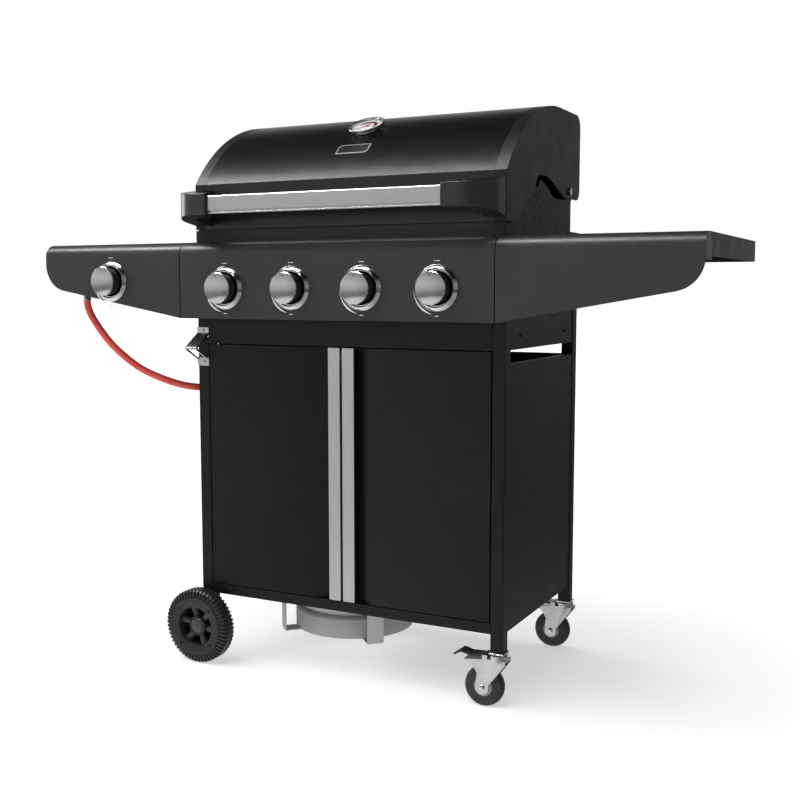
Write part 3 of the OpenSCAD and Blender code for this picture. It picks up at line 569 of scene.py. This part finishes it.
def make_dial_print(place):
    """A long tick after every two short ones, and a red zone inside them."""
    ticks = bmesh.new()
    for k in range(TICK_COUNT):
        angle = DIAL_START - DIAL_SWEEP * k / (TICK_COUNT - 1)
        turned = place @ Matrix.Rotation(math.radians(angle), 4, "Z")
        inner_r, half = (0.0255, 0.0005) if k % 3 == 0 else (0.0280, 0.00028)
        prism(ticks, rectangle(inner_r, TICK_OUTER_R, -half, half), PRINT_LOW, PRINT_HIGH, turned)
    mesh_object("gauge_ticks", ticks, MARK_BLACK, "lid")
    zone = bmesh.new()
    outline = arc(0.0225, 150, -30, 30) + arc(0.0140, 150, -30, 30)[::-1]
    prism(zone, outline, PRINT_LOW, PRINT_HIGH, place)
    mesh_object("gauge_hot_zone", zone, HOT_ZONE, "lid")


def make_gauge():
    place = at(0, GAUGE_Y, GAUGE_Z, (0, -math.sin(GAUGE_TILT), math.cos(GAUGE_TILT)))
    dish = [(0, -0.038), (0.004, -0.038), (0.004, -0.0082), (0.0098, -0.008), (0.0098, -0.003),
            (0.004, -0.0028), (0.004, 0.0006), (0.0235, 0.0006), (0.0240, 0.0012), (0.0240, 0.0022),
            (0.0232, 0.0028), (0.0207, 0.0034), (0.0204, 0.0044), (0.0212, 0.0052), (0.0310, 0.0076),
            (0.0352, 0.0096), (0.0368, 0.0112), (0.0370, 0.0124), (0.0365, 0.0134), (0.0355, 0.0138),
            (0.0343, 0.0134), (0.0334, 0.0122), (0.0331, 0.0084), (0.0024, 0.0084), (0.0024, 0.0060),
            (0, 0.0060)]
    case = spun("gauge_dish", dish, place, CHROME, "lid", smooth_angle=30)
    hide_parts("thermometer")
    spun("gauge_dial", rectangle(0.0026, 0.0326, 0.0083, 0.0088), place, DIAL_WHITE, "lid")
    make_dial_print(place)
    outside = dome(0.0329, 0.0040, 0.0112, steps=10)
    inside = [(r * 0.965, h - 0.0007) for r, h in outside[::-1]]
    spun("gauge_glass", outside + inside, place, GLASS, "lid")


make_gauge()

# ---- large wheels ----
LUG_COUNT = 54
LUG_HALF_WIDTH = 0.0021
SPOKE_COUNT = 6
SPOKES_START = 48              # degrees
HOLE_COUNT = 4
HOLES_R = 0.0515
HOLES_START = 47               # degrees
# Placement of a prism whose outline is (radius, height) and whose thickness lies across the radius
RADIAL = Matrix(((1, 0, 0, 0), (0, 0, 1, 0), (0, 1, 0, 0), (0, 0, 0, 1)))


def make_tyre(key, place, body):
    """The rim with its notched shoulders."""
    rim = [(0.0415, -0.0008), (0.0440, 0), (0.0596, 0), (0.0604, -0.0006), (0.0608, -0.0026),
           (0.0700, -0.0042), (0.0738, -0.0066), (0.0752, -0.0098), (0.0757, -0.0126), (0.0764, -0.0150),
           (0.0764, -0.0220), (0.0757, -0.0244), (0.0752, -0.0272), (0.0738, -0.0304), (0.0700, -0.0328),
           (0.0608, -0.0344), (0.0604, -0.0364), (0.0596, -WHEEL_W), (0.0440, -WHEEL_W), (0.0415, -0.0362),
           (0.0405, -0.0350), (0.0395, -0.0270), (0.0405, -0.0030), (0.0415, -0.0008)]
    lug = [(0.0612, -0.0008), (0.0680, -0.0012), (0.0734, -0.0028), (0.0768, -0.0064), (0.0770, -0.0125),
           (0.0700, -0.0125), (0.0612, -0.0052)]
    far_lug = [(r, -WHEEL_W - h) for r, h in lug]
    bm = bmesh.new()
    lathe(bm, rim, place, segments=108)
    for k in range(LUG_COUNT):
        turned = place @ Matrix.Rotation(2 * math.pi * k / LUG_COUNT, 4, "Z") @ RADIAL
        for outline in (lug, far_lug):
            prism(bm, outline, -LUG_HALF_WIDTH, LUG_HALF_WIDTH, turned)
    tyre = mesh_object("tyre_" + key, bm, WHEEL_PLASTIC, body, smooth_angle=28)
    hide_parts("wheel_" + key)


def make_wheel(key, y, axis):
    """Moulded wheel: a notched tyre, a side ring with four holes drawn as black discs of painted shade, six
    fat spokes over a web in painted shade, and a domed cap.
    """
    place = at(WHEEL_X, y, WHEEL_R, (0, axis, 0))
    body = key + "_wheel"
    make_tyre(key, place, body)
    # The web behind the spokes is matte black painted shade for the dark inside the wheel
    web = rectangle(0.0052, 0.0400, -0.0330, -0.0262)
    spun("wheel_web_shade_" + key, web, place, PAINTED_SHADE_BLACK, body)
    spokes = bmesh.new()
    for k in range(SPOKE_COUNT):
        turned = place @ Matrix.Rotation(math.radians(SPOKES_START + 360 * k / SPOKE_COUNT), 4, "Z")
        outward = turned @ Matrix.Translation((0.0150, 0, -0.0170)) @ Matrix.Rotation(math.pi / 2, 4, "Y")
        lathe(spokes, [(0.0058, 0), (0.0066, 0.012), (0.0078, 0.0255)], outward, segments=20)
    mesh_object("wheel_spokes_" + key, spokes, SPOKE_PLASTIC, body, smooth_angle=60)
    hub = [(0.0052, -0.0262), (0.0212, -0.0262), (0.0212, -0.0100), (0.0205, -0.0078), (0.0190, -0.0068),
           (0.0172, -0.0070), (0.0166, -0.0082), (0, -0.0082)]
    spun("wheel_hub_" + key, hub, place, HUB_PLASTIC, body, smooth_angle=45)
    cap = [(0, -0.0084)] + dome(0.0160, 0.0048, -0.0084, steps=10)[::-1]
    spun("wheel_cap_" + key, cap, place, CAP_PLASTIC, body, smooth_angle=60)
    # Black discs of painted shade stand in for the four holes
    holes = bmesh.new()
    hole = rectangle(0, 0.0023, -0.0004, 0.00012)
    for x, z in arc(HOLES_R, HOLES_START, HOLES_START + 360, HOLE_COUNT)[:-1]:
        lathe(holes, hole, place @ Matrix.Translation((x, z, 0)), segments=16)
    mesh_object("wheel_hole_shades_" + key, holes, PAINTED_SHADE_BLACK, body)


make_wheel("front", FRONT_WHEEL_Y, -1)
make_wheel("rear", REAR_WHEEL_Y, 1)

# ---- casters: tread, hub, riveted axle and brake plate ----
RIVET_BASE = 0.0178            # from the wheel's middle to the outside of the fork


def make_caster(key, y):
    body = key + "_caster"
    fork = key + "_fork"
    place = at(CASTER_X - CASTER_TRAIL, y, CASTER_R, (0, -1, 0))
    shoulder = [(0.0180, 0.0108), (0.0325, 0.0108), (0.0352, 0.0100), (0.0372, 0.0078), (0.0382, 0.0045)]
    tread = [(r, -h) for r, h in shoulder] + [(CASTER_R, 0)] + shoulder[::-1]
    tyre = spun("caster_tread_" + key, tread, place, TREAD_RUBBER, body)
    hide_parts("caster_wheel_" + key)
    face = [(0.0043, 0.0120), (0.0150, 0.0120), (0.0178, 0.0112), (0.0182, 0.0104)]
    hub = [(r, -h) for r, h in face] + face[::-1]
    spun("caster_hub_" + key, hub, place, CASTER_HUB, body)
    head = [(0.0052, -0.0014)] + dome(0.0052, 0.0030, -0.0010, steps=9)[::-1]
    for side, turn in (("in", math.pi), ("out", 0)):
        end = place @ Matrix.Rotation(turn, 4, "X") @ Matrix.Translation((0, 0, RIVET_BASE))
        spun("caster_rivet_%s_%s" % (key, side), head, end, CHROME, fork, segments=32,
             smooth_angle=60)


def make_brake_plate(key, y):
    """Bright sloping plate under the pedal, with a folded cheek on each side."""
    place = at(CASTER_X, y, 0, (0, -1, 0))
    plate = [(-0.0640, 0.0872), (-0.0255, 0.0911), (-0.0255, 0.0925), (-0.0640, 0.0886)]
    cheek = [(-0.0640, 0.0886), (-0.0255, 0.0925), (-0.0360, 0.0620), (-0.0400, 0.0700), (-0.0500, 0.0830),
             (-0.0640, 0.0862)]
    bm = bmesh.new()
    for outline, low, high in ((cheek, -0.0163, -0.0148), (cheek, 0.0148, 0.0163), (plate, -0.0150, 0.0150)):
        prism(bm, outline, low, high, place)
    mesh_object("brake_plate_" + key, bm, PLATED, key + "_fork")


for key, y in CASTER_YS.items():
    make_brake_plate(key, y)
for key, y in CASTER_YS.items():
    make_caster(key, y)

# ---- black strips of painted shade on the seams between the control panel and the two fascias, and gussets behind the legs ----
SEAM_W = 0.0020
SEAM_X = LEG_X + 0.00085
SEAM_OUT, SEAM_IN = 0.00012, -0.0004       # how far the seam stands out of the panel, and goes into it
SEAM_END_Y = FRONT_Y - 0.009
GUSSET_X = (0.3135, 0.3365)
GUSSET_Y = (FRONT_Y + 0.0300, FRONT_Y + 0.0315)
GUSSET_Z = (0.6500, 0.6643)
# Placement of a prism whose outline is (y, z) and whose thickness lies along x
SIDEWAYS = Matrix(((0, 0, 1, 0), (1, 0, 0, 0), (0, 1, 0, 0), (0, 0, 0, 1)))


def roll_path(out):
    """The rolled panel's section from its lower edge to the seam's end, out metres outside it, as (y, z)."""
    middle = (PANEL_Y + PANEL_ROLL_R, TABLE_Z - PANEL_ROLL_R)
    roll = arc(PANEL_ROLL_R + out, 180, 90, 16, middle)
    return [(PANEL_Y - out, PANEL_BASE_Z)] + roll + [(SEAM_END_Y, TABLE_Z + out)]


# A black strip of painted shade over the seam, standing in for the shadow in the narrow gap
def make_seam_shade(name, x):
    bm = bmesh.new()
    outline = roll_path(SEAM_OUT) + roll_path(SEAM_IN)[::-1]
    prism(bm, outline, x - SEAM_W / 2, x + SEAM_W / 2, SIDEWAYS)
    mesh_object(name, bm, PAINTED_SHADE_BLACK, "cart")


def make_gusset(name, low_x, high_x):
    bm = bmesh.new()
    prism(bm, rectangle(*GUSSET_Y, *GUSSET_Z), low_x, high_x, SIDEWAYS)
    mesh_object(name, bm, POWDER, "cart")


make_seam_shade("panel_seam_shade_left", -SEAM_X)
make_gusset("rail_gusset_left", -GUSSET_X[1], -GUSSET_X[0])
make_seam_shade("panel_seam_shade_right", SEAM_X)
make_gusset("rail_gusset_right", *GUSSET_X)


# ---- ferrules that hold the hose on its two stubs ----
def make_ferrule(name, end, inward):
    """A crimped sleeve with two grooves, from the hose's end back along the hose."""
    place = Matrix.Translation(end) @ towards(Vector(end) - Vector(inward))
    sleeve = [(0.0077, -0.018), (0.0088, -0.018), (0.0092, -0.016), (0.0092, -0.011), (0.0086, -0.010),
              (0.0086, -0.008), (0.0092, -0.007), (0.0092, -0.002), (0.0088, 0), (0.0077, 0)]
    spun(name, sleeve, place, PLATED, "cart", segments=32)


make_ferrule("hose_ferrule_table", HOSE_ROUTE[0], HOSE_ROUTE[1])
make_ferrule("hose_ferrule_bottle", HOSE_ROUTE[-1], HOSE_ROUTE[-2])

# ---- floor ----
FLOOR_HALF = 30
FLOOR_GLOW = 0.52


def make_floor():
    """A pale floor that glows a little, so that shadows on it stay light."""
    bm = bmesh.new()
    bmesh.ops.create_grid(bm, x_segments=1, y_segments=1, size=FLOOR_HALF)
    mesh = bpy.data.meshes.new("floor")
    bm.to_mesh(mesh)
    bm.free()
    floor = link(bpy.data.objects.new("floor", mesh))
    paint = Shader("floor_white", (0.85, 0.85, 0.85), roughness=0.9, specular=0.0)
    paint.vary_color(paint.noise(3), 0.005)
    paint.set("Emission Color", (1, 1, 1, 1))
    paint.set("Emission Strength", FLOOR_GLOW)
    mesh.materials.append(paint.material)
    floor.visible_glossy = False


make_floor()

# ---- studio: white to look at, with a pale horizon and a dark ceiling in reflections ----
# The sine of the elevation, and the studio's brightness there
STUDIO_BANDS = [(-1.0, 0.90), (-0.31, 0.95), (-0.265, 0.16), (-0.14, 0.30), (-0.02, 0.58), (0.14, 0.74),
                (0.36, 0.50), (0.58, 0.03), (1.0, 0.02)]
LEFT_LEVEL, RIGHT_LEVEL = 1.0, 0.30        # reflections are dimmer on the right
AMBIENT = 0.15


def make_world():
    world = bpy.data.worlds.new("studio")
    bpy.context.scene.world = world
    world.use_nodes = True
    nodes, links = world.node_tree.nodes, world.node_tree.links
    background = nodes["Background"]
    background.inputs["Color"].default_value = (1, 1, 1, 1)

    def spread(source, low, high, low_level, high_level):
        """Levels from low_level to high_level where source goes from low to high."""
        node = nodes.new("ShaderNodeMapRange")
        node.inputs["From Min"].default_value = low
        node.inputs["From Max"].default_value = high
        node.inputs["To Min"].default_value = low_level
        node.inputs["To Max"].default_value = high_level
        links.new(source, node.inputs["Value"])
        return node.outputs["Result"]

    def combine(operation, first, second):
        node = nodes.new("ShaderNodeMath")
        node.operation = operation
        links.new(first, node.inputs[0])
        links.new(second, node.inputs[1])
        return node.outputs["Value"]

    path = nodes.new("ShaderNodeLightPath")
    direction = nodes.new("ShaderNodeTexCoord")
    split = nodes.new("ShaderNodeSeparateXYZ")
    links.new(direction.outputs["Generated"], split.inputs["Vector"])
    bands = nodes.new("ShaderNodeValToRGB")
    stops = bands.color_ramp.elements
    while len(stops) < len(STUDIO_BANDS):
        stops.new(0.5)
    for stop, (height, level) in zip(stops, STUDIO_BANDS):
        stop.position = (height + 1) / 2
        stop.color = (level, level, level, 1)
    links.new(spread(split.outputs["Z"], -1, 1, 0, 1), bands.inputs["Fac"])
    across = spread(split.outputs["X"], -0.40, 0.45, LEFT_LEVEL, RIGHT_LEVEL)
    seen = nodes.new("ShaderNodeMix")
    seen.inputs["A"].default_value = AMBIENT
    links.new(path.outputs["Is Glossy Ray"], seen.inputs["Factor"])
    links.new(combine("MULTIPLY", bands.outputs["Color"], across), seen.inputs["B"])
    links.new(combine("MAXIMUM", seen.outputs["Result"], path.outputs["Is Camera Ray"]),
              background.inputs["Strength"])


make_world()

# ---- lights ----
SUN_POWER = 2.2
SUN_SPREAD = 70                # degrees
SUN_DIRECTION = (0.40, 0.28, -1)


def make_sun():
    sun = bpy.data.lights.new("overhead", "SUN")
    sun.energy = SUN_POWER
    sun.angle = math.radians(SUN_SPREAD)
    obj = link(bpy.data.objects.new("overhead", sun))
    obj.rotation_euler = Vector(SUN_DIRECTION).to_track_quat("-Z", "Y").to_euler()
    obj.visible_glossy = False


def softbox(name, place, aim, size, power, glossy=True, diffuse=True):
    """A rectangular light whose first side lies level."""
    data = bpy.data.lights.new(name, "AREA")
    data.shape = "RECTANGLE"
    data.size, data.size_y = size
    data.energy = power
    obj = link(bpy.data.objects.new(name, data))
    back = (Vector(place) - Vector(aim)).normalized()
    across = (Vector((1, 0, 0)) - back * back.x).normalized()
    turn = Matrix((across, back.cross(across), back)).transposed()
    obj.matrix_world = Matrix.Translation(place) @ turn.to_4x4()
    obj.visible_glossy = glossy
    obj.visible_diffuse = diffuse


make_sun()
softbox("long_box", (-1.05, -0.95, 3.0), (0.0, -0.15, 0.95), (2.7, 0.24), 115, diffuse=False)
softbox("left_box", (-3.2, 0.1, 1.1), (0, 0, 0.8), (1.6, 1.2), 20, diffuse=False)
softbox("front_fill", (0.3, -3.4, 1.3), (0, 0, 0.8), (2.4, 1.4), 8, glossy=False)
bpy.context.scene.view_settings.view_transform = "Standard"
